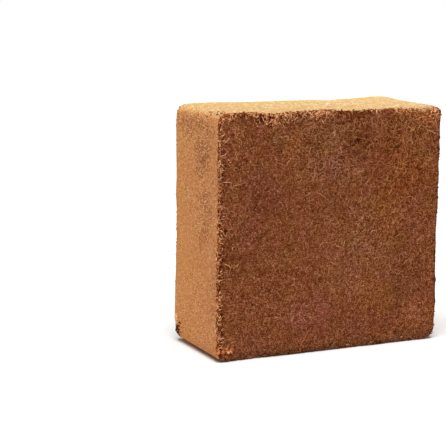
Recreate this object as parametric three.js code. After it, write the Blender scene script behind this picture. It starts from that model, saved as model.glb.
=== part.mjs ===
// A pressed block of coconut coir: pith and short husk fibre compacted in a square mould.
// It stands on one narrow side. X runs along the large faces, Y through the thickness, Z up.
// Lengths are in millimetres, and the origin is the centre of the base.
import * as THREE from 'three';
import { mergeVertices } from 'three/addons/utils/BufferGeometryUtils.js';

// Overall size of the block
const WIDTH = 300;
const DEPTH = 122;
const HEIGHT = 288;

// Radii of the four corners, seen from the front: the mould's rounding, worn unevenly in depth
const TOP_LEFT_RADIUS = { front: 15, back: 12 };
const TOP_RIGHT_RADIUS = { front: 9, back: 15 };
const BOTTOM_LEFT_RADIUS = { front: 15, back: 19 };
const BOTTOM_RIGHT_RADIUS = { front: 15, back: 17 };

// Rounding of the arris between a large pressed face and the narrow moulded sides
const ARRIS_RADIUS = 4;

// Mesh steps along each direction, with closer rows beside the arrises and in the corners
const STEPS_WIDE = 36;
const STEPS_DEEP = 14;
const STEPS_HIGH = 36;
const CORNER_ROWS = [0, 2, 5, 9, 15, 23];
const ARRIS_ROWS = [0, 2, 5, 10];

// Relief of the surfaces: how far it reaches and the length over which it changes
const FACE_CROWN = 1;
const FACE_SWELL = { reach: 0.6, length: 60, seed: 11 };
const FACE_GRAIN = { reach: 0.5, length: 12, seed: 23 };
const FACE_PITS = { reach: 2.6, length: 19, seed: 29 };
const SIDE_SWELL = { reach: 0.3, length: 48, seed: 37 };
const RIM_CRUMBLE = { reach: 0.7, length: 12, seed: 41 };
const RIM_CHIPS = { reach: 2.4, length: 22, seed: 59 };
const RIM_WIDTH = 8;
const HOLLOW_THRESHOLD = 0.3;
const ROW_JITTER = { reach: 2.2, length: 7, seed: 71 };

// The base stays flat this far in from its arrises and rounded ends
const BASE_EDGE = 10;

// Grid points closer than this are one point
const MERGE_DISTANCE = 0.001;

// Lumps of loose pith (rise above 0) and broken places (rise below 0) along the rims
const FRONT = -DEPTH / 2;
const BACK = DEPTH / 2;
const LEFT = -WIDTH / 2;
const RIGHT = WIDTH / 2;
const RIM_FEATURES = [
  { name: 'crumb at the lower left corner', at: [LEFT + 11, FRONT, 10], radius: 13, rise: 1.5 },
  { name: 'crumbs on the left arris', at: [LEFT, FRONT, 116], radius: 12, rise: 1.1 },
  { name: 'pith spilt over the top arris', at: [LEFT + 138, FRONT, HEIGHT], radius: 15, rise: 1 },
  { name: 'worn stretch of the top arris', at: [LEFT + 70, FRONT, HEIGHT], radius: 27, rise: -3 },
  { name: 'wear by the top left corner', at: [LEFT + 20, FRONT, HEIGHT - 14], radius: 17, rise: -1.8 },
  { name: 'frayed top right corner', at: [RIGHT - 12, FRONT, HEIGHT - 8], radius: 19, rise: -1.4 },
  { name: 'notch at the back of the left base', at: [LEFT + 4, BACK, 22], radius: 12, rise: -3 },
  { name: 'broken back top arris', at: [LEFT + 205, BACK, HEIGHT], radius: 22, rise: -1.6 },
  { name: 'broken right back arris', at: [RIGHT, BACK, 170], radius: 20, rise: -2.6 },
  { name: 'crumbs on the right back arris', at: [RIGHT - 3, BACK, 92], radius: 13, rise: 1 },
  { name: 'swelling low on the right arris', at: [RIGHT, FRONT, 38], radius: 52, rise: 1.5 },
  { name: 'sunken stretch of the left back arris', at: [LEFT, BACK, 135], radius: 70, rise: -1.2 },
  { name: 'raised stretch of the back top arris', at: [LEFT + 45, BACK, HEIGHT], radius: 60, rise: 0.9 },
  { name: 'swelling of the top at the back', at: [RIGHT - 22, BACK, HEIGHT], radius: 42, rise: 1.6 },
];

// A repeatable pseudo-random value from 0 to 1 for each point of a whole-number lattice
function latticeValue(i, j, k, seed) {
  let mixed = seed;
  for (const step of [i, j, k]) {
    mixed = Math.imul(mixed ^ step, 2654435761);
    mixed = Math.imul(mixed ^ (mixed >>> 15), 2246822519);
    mixed ^= mixed >>> 13;
  }
  return (mixed >>> 0) / 2 ** 32;
}

// Smooth noise from -1 to 1, blended between the eight lattice values around a point
function noise(point, length, seed) {
  const cell = [0, 1, 2].map((axis) => Math.floor(point.getComponent(axis) / length));
  const blend = [0, 1, 2].map((axis) => {
    const along = point.getComponent(axis) / length - cell[axis];
    return along * along * (3 - 2 * along);
  });
  let value = 0;
  for (let corner = 0; corner < 8; corner += 1) {
    const step = [corner & 1, (corner >> 1) & 1, (corner >> 2) & 1];
    const weight = step.reduce((product, up, axis) => product * (up ? blend[axis] : 1 - blend[axis]), 1);
    value += weight * latticeValue(cell[0] + step[0], cell[1] + step[1], cell[2] + step[2], seed);
  }
  return 2 * value - 1;
}

function relief(point, kind) {
  return kind.reach * noise(point, kind.length, kind.seed);
}

// Scattered hollows: only the peaks of the noise count, and they cut inwards
function hollows(point, kind) {
  return -kind.reach * Math.max(0, noise(point, kind.length, kind.seed) - HOLLOW_THRESHOLD);
}

// Moves an evenly spaced grid coordinate so that the rows near both ends follow the given list
function gradedCoordinate(coordinate, size, steps, rows) {
  const index = Math.round((coordinate / size + 0.5) * steps);
  const fromEnd = Math.min(index, steps - index);
  const lastRow = rows.length - 1;
  const spacing = (size / 2 - rows[lastRow]) / (steps / 2 - lastRow);
  const inset = fromEnd <= lastRow ? rows[fromEnd] : rows[lastRow] + (fromEnd - lastRow) * spacing;
  return index <= steps / 2 ? inset - size / 2 : size / 2 - inset;
}

function cornerRadius(x, y, z) {
  const upper = x < 0 ? TOP_LEFT_RADIUS : TOP_RIGHT_RADIUS;
  const lower = x < 0 ? BOTTOM_LEFT_RADIUS : BOTTOM_RIGHT_RADIUS;
  const radius = z > HEIGHT / 2 ? upper : lower;
  return THREE.MathUtils.mapLinear(y, FRONT, BACK, radius.front, radius.back);
}

// Where a point of the mould's outline grid lies once its corner is rounded.
// inset is how far inside the outline it ends up, and outward is the outline's normal there.
function outlinePoint(x, y, z, inset) {
  const sideX = Math.sign(x) || 1;
  const sideZ = z > HEIGHT / 2 ? 1 : -1;
  const fromSide = WIDTH / 2 - Math.abs(x);
  const fromEnd = HEIGHT / 2 - Math.abs(z - HEIGHT / 2);
  const radius = cornerRadius(x, y, z);
  if (fromSide < radius && fromEnd < radius) {
    const acrossX = radius - fromSide;
    const acrossZ = radius - fromEnd;
    const angle =
      acrossX >= acrossZ
        ? (Math.PI / 4) * (acrossZ / acrossX)
        : Math.PI / 2 - (Math.PI / 4) * (acrossX / acrossZ);
    const outward = new THREE.Vector2(sideX * Math.cos(angle), sideZ * Math.sin(angle));
    const centreX = sideX * (WIDTH / 2 - radius);
    const centreZ = HEIGHT / 2 + sideZ * (HEIGHT / 2 - radius);
    const reach = radius - inset;
    return { x: centreX + outward.x * reach, z: centreZ + outward.y * reach, outward };
  }
  if (fromSide < fromEnd) {
    return { x: sideX * (WIDTH / 2 - inset), z, outward: new THREE.Vector2(sideX, 0) };
  }
  return { x, z: HEIGHT / 2 + sideZ * (HEIGHT / 2 - inset), outward: new THREE.Vector2(0, sideZ) };
}

// Rounds one point of the sharp box into the pressed block, with its outward normal there
function mouldedPoint(x, y, z) {
  const faceSide = Math.sign(y) || 1;
  const fromFace = DEPTH / 2 - Math.abs(y);
  const fromOutline = Math.min(WIDTH / 2 - Math.abs(x), HEIGHT / 2 - Math.abs(z - HEIGHT / 2));
  const onFace = fromFace === 0;
  const along = Math.min((onFace ? fromOutline : fromFace) / ARRIS_RADIUS, 1);
  const turn = (Math.PI / 4) * (onFace ? 1 + along : 1 - along);
  const insideArris = along < 1;
  const inset = insideArris ? ARRIS_RADIUS * (1 - Math.cos(turn)) : fromOutline;
  const sink = insideArris ? ARRIS_RADIUS * (1 - Math.sin(turn)) : fromFace;
  const outline = outlinePoint(x, y, z, inset);
  const position = new THREE.Vector3(outline.x, faceSide * (DEPTH / 2 - sink), outline.z);
  const normal = new THREE.Vector3(
    outline.outward.x * Math.cos(turn),
    faceSide * Math.sin(turn),
    outline.outward.y * Math.cos(turn),
  );
  const rim = THREE.MathUtils.clamp(1 - (onFace ? fromOutline : fromFace) / RIM_WIDTH, 0, 1);
  return { position, normal, rim, onFace, fromOutline };
}

function rimFeatureRise(position) {
  let rise = 0;
  for (const { at, radius, rise: featureRise } of RIM_FEATURES) {
    const near = 1 - position.distanceToSquared(new THREE.Vector3(...at)) / radius ** 2;
    if (near > 0) rise += featureRise * near * near;
  }
  return rise;
}

// The pressed faces spring back a little in the middle once they leave the mould
function crownRise({ x, z }) {
  const across = 1 - (x / (WIDTH / 2)) ** 2;
  const up = 1 - (z / (HEIGHT / 2) - 1) ** 2;
  return FACE_CROWN * across * up;
}

function faceRise(position) {
  const roughness = relief(position, FACE_SWELL) + relief(position, FACE_GRAIN);
  return crownRise(position) + roughness + hollows(position, FACE_PITS);
}

// How far the surface stands proud of the smooth moulded shape at a point
function surfaceRise({ position, rim, onFace }) {
  const open = onFace ? faceRise(position) : relief(position, SIDE_SWELL);
  const crumbled = relief(position, RIM_CRUMBLE) + hollows(position, RIM_CHIPS);
  return open * (1 - rim) + crumbled * rim + rimFeatureRise(position);
}

// Shifts a face point in its own plane, so that the facets don't follow the grid
function jitterOnFace({ position, fromOutline }) {
  const free = THREE.MathUtils.clamp((fromOutline - RIM_WIDTH) / RIM_WIDTH, 0, 1);
  const across = noise(position, ROW_JITTER.length, ROW_JITTER.seed);
  const up = noise(position, ROW_JITTER.length, ROW_JITTER.seed + 1);
  position.x += free * ROW_JITTER.reach * across;
  position.z += free * ROW_JITTER.reach * up;
}

// 0 on the flat of the base, 1 well away from it
function baseFreedom(x, y) {
  const pastRoundedEnd = Math.abs(x) - (WIDTH / 2 - cornerRadius(x, y, 0));
  const pastArris = Math.abs(y) - (DEPTH / 2 - BASE_EDGE);
  return THREE.MathUtils.clamp(Math.max(pastRoundedEnd, pastArris) / BASE_EDGE, 0, 1);
}

function blockGeometry() {
  const geometry = new THREE.BoxGeometry(WIDTH, DEPTH, HEIGHT, STEPS_WIDE, STEPS_DEEP, STEPS_HIGH);
  const positions = geometry.getAttribute('position');
  for (let index = 0; index < positions.count; index += 1) {
    const x = gradedCoordinate(positions.getX(index), WIDTH, STEPS_WIDE, CORNER_ROWS);
    const y = gradedCoordinate(positions.getY(index), DEPTH, STEPS_DEEP, ARRIS_ROWS);
    const z = gradedCoordinate(positions.getZ(index), HEIGHT, STEPS_HIGH, CORNER_ROWS) + HEIGHT / 2;
    const point = mouldedPoint(x, y, z);
    if (point.onFace) jitterOnFace(point);
    const onBase = z === 0 && !point.onFace;
    const rise = surfaceRise(point) * (onBase ? baseFreedom(x, y) : 1);
    point.position.addScaledVector(point.normal, rise);
    point.position.z = Math.max(point.position.z, 0);
    positions.setXYZ(index, point.position.x, point.position.y, point.position.z);
  }
  geometry.deleteAttribute('normal');
  geometry.deleteAttribute('uv');
  const merged = mergeVertices(geometry, MERGE_DISTANCE);
  fitToSize(merged);
  return merged;
}

// Brings the finished shape to its overall size, with the origin under its middle
function fitToSize(geometry) {
  geometry.computeBoundingBox();
  const box = geometry.boundingBox;
  const size = box.getSize(new THREE.Vector3());
  const centre = box.getCenter(new THREE.Vector3());
  geometry.translate(-centre.x, -centre.y, -box.min.z);
  geometry.scale(WIDTH / size.x, DEPTH / size.y, HEIGHT / size.z);
}

function coirBlock() {
  const coir = new THREE.MeshStandardMaterial({ color: 0x8a5230, roughness: 0.95, metalness: 0 });
  coir.flatShading = true;
  const block = new THREE.Mesh(blockGeometry(), coir);
  block.name = 'coir_block';
  return block;
}

const bale = new THREE.Group();
bale.add(coirBlock());

export default bale;
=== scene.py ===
import math
from collections import namedtuple

import bpy
import numpy as np
from mathutils import Matrix, Vector
from mathutils.bvhtree import BVHTree


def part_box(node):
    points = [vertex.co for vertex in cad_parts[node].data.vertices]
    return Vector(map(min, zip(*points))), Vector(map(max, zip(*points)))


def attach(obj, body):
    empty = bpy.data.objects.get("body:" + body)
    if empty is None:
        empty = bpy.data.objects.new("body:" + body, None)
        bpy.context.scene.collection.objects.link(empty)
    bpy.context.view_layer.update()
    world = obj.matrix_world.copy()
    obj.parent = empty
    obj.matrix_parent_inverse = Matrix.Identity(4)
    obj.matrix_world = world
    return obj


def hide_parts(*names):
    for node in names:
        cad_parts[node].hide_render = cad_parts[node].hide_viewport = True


# Looks of a pressed block of coconut coir, built around its solid. Lengths are in metres.
# X runs along the large pressed faces, Y through the thickness, Z up.

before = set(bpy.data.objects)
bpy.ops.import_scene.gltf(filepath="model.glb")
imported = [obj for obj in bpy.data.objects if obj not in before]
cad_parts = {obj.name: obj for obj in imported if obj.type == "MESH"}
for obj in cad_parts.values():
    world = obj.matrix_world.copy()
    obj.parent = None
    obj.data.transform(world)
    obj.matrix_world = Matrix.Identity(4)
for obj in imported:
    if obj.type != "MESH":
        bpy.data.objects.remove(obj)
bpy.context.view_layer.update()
BLOCK = "coir_block"
LOW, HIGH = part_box(BLOCK)
MM = 0.001
HALF_WIDTH = (HIGH[0] - LOW[0]) / 2
HALF_DEPTH = (HIGH[1] - LOW[1]) / 2
HALF_HEIGHT = (HIGH[2] - LOW[2]) / 2
FRONT = -1
BACK = 1


def mm(*values):
    """Millimetres as a tuple of metres."""
    return tuple(value * MM for value in values)


# Camera, fitted to the block's outline in the photograph
IMAGE_LONG_SIDE = 448
SENSOR = 36.0
FOCAL_PIXELS = 1512.0
CAMERA_PLACE = Vector((-877.8, -1565.9, 465.7)) * MM
CAMERA_YAW = math.radians(26.03)
CAMERA_PITCH = math.radians(10.27)
CAMERA_ROLL = math.radians(0.796)
# The nearest and the furthest that the camera sees
CLIP_RANGE = (0.05, 50)
# Middle of the photograph, in pixels of its 446 x 448 frame
PHOTO_MIDDLE = (223, 224)

# Light: a wide soft sun nearly overhead and a little ambient light
SUN_TOWARDS = Vector((-0.15, -0.2, 0.97))
SUN_WIDTH = math.radians(40)
SUN_STRENGTH = 3.9
AMBIENT = 0.25
FLOOR_SIZE = 14
FLOOR_GREY = (236, 236, 236)

# Skin: how finely the solid is remeshed, and how often and how strongly the voxels' steps are smoothed
VOXEL = 1.9 * MM
SMOOTHING_ROUNDS = 5
SMOOTHING_FACTOR = 0.5
# How far the rough faces reach over the arrises onto the moulded sides, and how ragged their edge is.
# Below 0 the moulded surface rolls over the arris instead. In mm: by height on the left, by X on the top.
LEFT_REACH = ((50, -0.6), (75, 1.6), (125, 2.6), (145, 0.0), (205, 0.0), (225, 3.2), (270, 3.2))
TOP_REACH = ((-130, 5.8), (-90, 2.6), (-60, 0.4), (-10, -1.8), (20, -0.6), (60, -0.4), (105, -2),
             (115, -5.5), (130, -7.6))
FAR_REACH = 4 * MM
RIM_RAGGEDNESS = 1.3 * MM
# The top's own reach sets in between these depths below the top, and FAR_REACH, which holds at the base,
# fades out between these heights
TOP_BAND = mm(13, 6)
BASE_BAND = mm(3, 9)
# Half the width of the change from pith to moulded surface
PITH_BLEND = 1.2 * MM
# How wide the frayed rims are on the pressed faces, how much that changes, and where they end on the sides
RIM_WIDTH = 6 * MM
RIM_WIDTH_CHANGE = 3 * MM
RIM_DOWN_SIDE = mm(2, 4.5)
# The rims fall quiet between these distances from the right arris, the top and the ground
QUIET_RIGHT = mm(12, 4)
QUIET_TOP = mm(20, 10)
QUIET_LOW = mm(4, 14)
# The broken corner at the back of the left base: its middle and radius, and how much further in the
# pith shows there, in mm
NOTCH_MIDDLE = (-148, 54, 18)
NOTCH_RADIUS = 20
NOTCH_REACH = 20
# It fades out between these shares of its radius
NOTCH_EDGE = (0.4, 1.0)
# The moulded sides' texture is drawn out through the thickness by this much
SIDE_STRETCH = 2.2
# Corner radii of the outline at the front and at the back, by the side of X and the half of the height
CORNER_RADII = {(-1, 1): (15, 12), (1, 1): (9, 15), (-1, -1): (15, 19), (1, -1): (15, 17)}
# The front face lies this far behind the block's foremost point
FACE_SINK = 1.2 * MM
# Up to this height the skin has no bumps and keeps only this share of its hollows
BASE_HEIGHT = 1.2 * MM
BASE_RELIEF = 0.2
# Only what lies this near a pressed face takes the painted shade of its right edge and rims, and the painted
# shade of its foot
FACE_LAYER = 8 * MM
# Relief in mm: the pith's grain and pits, what a loose mat adds to each, and the pits of the rims
GRAIN_HEIGHT = 0.1
LOOSE_GRAIN_HEIGHT = 0.1
PIT_DEPTH = 0.9
LOOSE_PIT_DEPTH = 1.5
RIM_PIT_DEPTH = 2.6
# How much of the rims' relief is gone where they are quiet
QUIET_RELIEF = 0.88

# Fibre families: how many before some are left out, rings less one, length, thickness, how curly, and how
# high they arch. How many curls there are is given with their places instead.
FibreKind = namedtuple("FibreKind", "count steps length thickness curl lift")
SHORT = FibreKind(9500, 3, mm(2, 5), mm(0.45, 0.75), 0.6, mm(0.05, 0.6))
MEDIUM = FibreKind(1000, 6, mm(7, 14), mm(0.45, 0.65), 0.7, mm(0.1, 0.6))
CURLS = FibreKind(0, 6, mm(5, 13), mm(0.45, 0.7), 0.8, mm(0.3, 1.2))
BACK_MAT = FibreKind(6000, 3, mm(3, 8), mm(0.5, 0.95), 0.6, mm(0.05, 0.7))
LOOPS = FibreKind(600, 4, mm(2.5, 6), mm(0.6, 0.95), 0.6, mm(0.3, 1.3))
FRINGE = FibreKind(3300, 3, mm(2.8, 5.5), mm(0.8, 1.25), 0.7, mm(0.1, 1.0))
BACK_FRINGE = FibreKind(1500, 4, mm(4, 9), mm(0.5, 0.9), 0.9, mm(0.1, 1.0))
SIDE_FIBRES = FibreKind(3000, 2, mm(3, 8), mm(0.4, 0.7), 0.4, mm(0.0, 0.06))
# Grains of pith on the pressed faces
FRONT_GRAINS = 8000
BACK_GRAINS = 6000
GRAIN_RADII = mm(0.4, 0.75)

SEED = 20


def camera_axes():
    """The camera's right, up and forward directions."""
    forward = Vector((
        math.sin(CAMERA_YAW) * math.cos(CAMERA_PITCH),
        math.cos(CAMERA_YAW) * math.cos(CAMERA_PITCH),
        -math.sin(CAMERA_PITCH),
    ))
    level = Vector((math.cos(CAMERA_YAW), -math.sin(CAMERA_YAW), 0))
    upright = level.cross(forward)
    right = math.cos(CAMERA_ROLL) * level + math.sin(CAMERA_ROLL) * upright
    up = math.cos(CAMERA_ROLL) * upright - math.sin(CAMERA_ROLL) * level
    return right, up, forward


def on_front(column, row):
    """The place on the front face that the photograph shows at a pixel."""
    right, up, forward = camera_axes()
    across = (column - PHOTO_MIDDLE[0]) / FOCAL_PIXELS
    down = (row - PHOTO_MIDDLE[1]) / FOCAL_PIXELS
    ray = forward + across * right - down * up
    reach = (LOW[1] + FACE_SINK - CAMERA_PLACE[1]) / ray[1]
    return CAMERA_PLACE + reach * ray


def camera():
    data = bpy.data.cameras.new("camera")
    data.sensor_width = SENSOR
    data.lens = SENSOR * FOCAL_PIXELS / IMAGE_LONG_SIDE
    data.clip_start, data.clip_end = CLIP_RANGE
    right, up, forward = camera_axes()
    turned = Matrix((right, up, -forward)).transposed().to_4x4()
    made = bpy.data.objects.new("camera", data)
    made.matrix_world = Matrix.Translation(CAMERA_PLACE) @ turned
    bpy.context.collection.objects.link(made)
    bpy.context.scene.camera = made


# Repeatable noise on arrays of points

def lattice_values(cells, seed):
    """A value from 0 to 1 for each whole-number lattice point."""
    mixed = np.full(len(cells), seed, np.uint32)
    for axis in range(3):
        mixed = (mixed ^ cells[:, axis].astype(np.uint32)) * np.uint32(2654435761)
        mixed = (mixed ^ (mixed >> np.uint32(15))) * np.uint32(2246822519)
        mixed = mixed ^ (mixed >> np.uint32(13))
    return mixed / 2.0 ** 32


def noise(points, length, seed):
    """Smooth noise from -1 to 1 that changes over the given length."""
    flat = points.reshape(-1, 3) / length
    cells = np.floor(flat).astype(np.int64)
    along = flat - cells
    blend = along * along * (3 - 2 * along)
    value = np.zeros(len(flat))
    for corner in range(8):
        step = np.array([corner & 1, (corner >> 1) & 1, (corner >> 2) & 1])
        weight = np.prod(np.where(step, blend, 1 - blend), axis=1)
        value += weight * lattice_values(cells + step, seed)
    return (2 * value - 1).reshape(points.shape[:-1])


def smooth_step(value, low, high):
    along = np.clip((value - low) / (high - low), 0, 1)
    return along * along * (3 - 2 * along)


# Where a point lies on the block

def face_depth(points):
    """How far a point lies below the nearer of the two pressed faces."""
    return HALF_DEPTH - np.abs(points[..., 1])


def outline_inset(points):
    """How far a point lies inside the rounded outline of the pressed faces."""
    x = points[..., 0]
    z = points[..., 2] - HALF_HEIGHT
    behind = np.clip(0.5 + 0.5 * points[..., 1] / HALF_DEPTH, 0, 1)
    radius = np.zeros(x.shape)
    for (side, half), (front, back) in CORNER_RADII.items():
        here = (np.sign(x) == side) & (np.sign(z) == half)
        radius = np.where(here, MM * (front + (back - front) * behind), radius)
    across = np.abs(x) - (HALF_WIDTH - radius)
    up = np.abs(z) - (HALF_HEIGHT - radius)
    outside = np.hypot(np.maximum(across, 0), np.maximum(up, 0))
    return radius - outside - np.minimum(np.maximum(across, up), 0)


def over_arris(points):
    """How far a point lies over an arris from its pressed face, below 0 on the face itself."""
    return face_depth(points) - outline_inset(points)


def pith_reach(points):
    """How far over the arrises the rough pith of the pressed faces reaches."""
    on_top = smooth_step(points[..., 2], HIGH[2] - TOP_BAND[0], HIGH[2] - TOP_BAND[1])
    on_left = points[..., 0] < 0
    on_base = 1 - smooth_step(points[..., 2], *BASE_BAND)
    heights, left = MM * np.array(LEFT_REACH).T
    reach = np.where(on_left, np.interp(points[..., 2], heights, left), FAR_REACH)
    reach = reach + (FAR_REACH - reach) * on_base
    places, top = MM * np.array(TOP_REACH).T
    reach = reach + (np.interp(points[..., 0], places, top) - reach) * on_top
    away = np.linalg.norm(points / MM - NOTCH_MIDDLE, axis=-1) / NOTCH_RADIUS
    reach = reach + NOTCH_REACH * MM * (1 - smooth_step(away, *NOTCH_EDGE))
    ragged = 0.6 * noise(points, 5 * MM, 3) + 0.5 * noise(points, 16 * MM, 4)
    return reach + (1 + fray(points)) * RIM_RAGGEDNESS * ragged


def pressed_mask(points):
    """1 on the rough pressed faces, 0 on the moulded sides, with a ragged edge between."""
    return 1 - smooth_step(over_arris(points) - pith_reach(points), -PITH_BLEND, PITH_BLEND)


def rim_nearness(points):
    """1 at the arrises, falling to 0 some way in over the pressed faces and soon on the sides."""
    reach = RIM_WIDTH + RIM_WIDTH_CHANGE * noise(points, 22 * MM, 5)
    over_face = 1 - smooth_step(outline_inset(points), 0.3 * reach, 1.3 * reach)
    down_side = 1 - smooth_step(face_depth(points), *RIM_DOWN_SIDE)
    return over_face * down_side


def quietness(points):
    """1 by the right arris and the base, where the rims are less frayed, and 0 by the other two."""
    right = smooth_step(points[..., 0], HALF_WIDTH - QUIET_RIGHT[0], HALF_WIDTH - QUIET_RIGHT[1])
    below_top = 1 - smooth_step(points[..., 2], HIGH[2] - QUIET_TOP[0], HIGH[2] - QUIET_TOP[1])
    low = 1 - smooth_step(points[..., 2], *QUIET_LOW)
    return np.maximum(right * below_top, low)


# Mesh helpers

def vertex_array(mesh, field="co"):
    values = np.empty(len(mesh.vertices) * 3, np.float32)
    if field == "co":
        mesh.vertices.foreach_get("co", values)
    else:
        mesh.vertex_normals.foreach_get("vector", values)
    return values.reshape(-1, 3).astype(np.float64)


def add_attribute(mesh, name, values):
    layer = mesh.attributes.new(name, "FLOAT", "POINT")
    layer.data.foreach_set("value", np.asarray(values, np.float32))


def new_object(name, mesh, material):
    points = vertex_array(mesh)
    # The lightness carries painted shade down the right edge and in the rims
    for field, values in zip(("light", "warm", "red"), tints(points)):
        add_attribute(mesh, field, values)
    # Painted shade at the foot of the pressed faces
    add_attribute(mesh, "foot_shade", foot_painted_shade(points))
    mesh.materials.clear()
    mesh.materials.append(material)
    mesh.polygons.foreach_set("use_smooth", np.ones(len(mesh.polygons), bool))
    made = bpy.data.objects.new(name, mesh)
    bpy.context.collection.objects.link(made)
    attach(made, "root")
    return made


def mesh_from_arrays(name, points, faces):
    """A mesh from an array of points and a list of face index arrays, each of one face size."""
    mesh = bpy.data.meshes.new(name)
    corners = np.concatenate([f.ravel() for f in faces]).astype(np.int32)
    sizes = np.concatenate([np.full(len(f), f.shape[1], np.int32) for f in faces])
    starts = np.concatenate([[0], np.cumsum(sizes)[:-1]]).astype(np.int32)
    mesh.vertices.add(len(points))
    mesh.vertices.foreach_set("co", points.astype(np.float32).ravel())
    mesh.loops.add(len(corners))
    mesh.loops.foreach_set("vertex_index", corners)
    mesh.polygons.add(len(sizes))
    mesh.polygons.foreach_set("loop_start", starts)
    mesh.update(calc_edges=True)
    mesh.validate()
    return mesh


# The skin of the block

# Places on the front face below are pixels of the photograph's 446 x 448 frame

# Dark hollows in the front face, most of them in its rims, with their radius in mm
Hole = namedtuple("Hole", "name column row radius")
HOLES = (
    Hole("left rim, first", 222.3, 154.0, 2.6),
    Hole("left rim, second", 225.0, 152.5, 2.0),
    Hole("left rim, wide", 223.5, 162.5, 3.6),
    Hole("left rim, wide lower", 226.8, 165.5, 2.8),
    Hole("left rim, below the level strand", 221.2, 185.0, 3.0),
    Hole("left rim, right of it", 229.0, 184.5, 2.6),
    Hole("left rim, middle", 220.0, 211.0, 2.6),
    Hole("left rim, middle lower", 219.5, 218.0, 3.0),
    Hole("left rim, inside the square loop", 226.0, 232.0, 3.4),
    Hole("left rim, by the crumbs", 222.0, 261.5, 4.0),
    Hole("left rim, under the crumbs", 221.0, 267.5, 3.6),
    Hole("left rim, low bristles", 219.5, 314.0, 3.4),
    Hole("left rim, low bristles inner", 223.0, 317.5, 2.8),
    Hole("left rim, lowest", 220.5, 336.0, 3.6),
    Hole("top tangle, first", 260.0, 121.0, 2.6),
    Hole("top tangle, second", 264.5, 122.0, 2.8),
    Hole("top tangle, third", 272.5, 118.5, 2.4),
    Hole("top tangle, under it", 272.0, 125.5, 3.0),
    Hole("upper right, long", 358.0, 141.0, 4.4),
    Hole("upper right, below it", 352.5, 134.0, 3.0),
)
# How deep they are, as a share of their radius
HOLE_DEPTH = 0.5

# Stretches of the front rims where pith and moulded skin break up into each other: reach in mm, strength
Frayed = namedtuple("Frayed", "name column row reach_x reach_z strength")
FRAYED = (
    Frayed("top, over the tangle", 272, 113, 26, 14, 0.7),
    Frayed("top, right of the tangle", 306, 111, 28, 14, 1.0),
    Frayed("top right corner", 422, 110, 26, 14, 1.0),
    Frayed("top left corner", 226, 118, 14, 16, 0.6),
    Frayed("left arris, high", 217, 165, 8, 60, 0.3),
    Frayed("left arris, low", 216, 280, 8, 60, 0.5),
)

# Places of the front face with loose pale curls: reach in mm, how many, and how loose the mat is there
Curly = namedtuple("Curly", "name column row reach_x reach_z count loose")
CURLY = (
    Curly("upper middle", 338, 147, 62, 52, 460, 1.0),
    Curly("upper right", 404, 145, 60, 56, 300, 0.9),
    Curly("right half", 385, 225, 76, 84, 80, 0.45),
    Curly("left rim", 231, 200, 12, 110, 40, 0.0),
    Curly("whole face", 336, 230, 110, 110, 40, 0.0),
)

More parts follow.
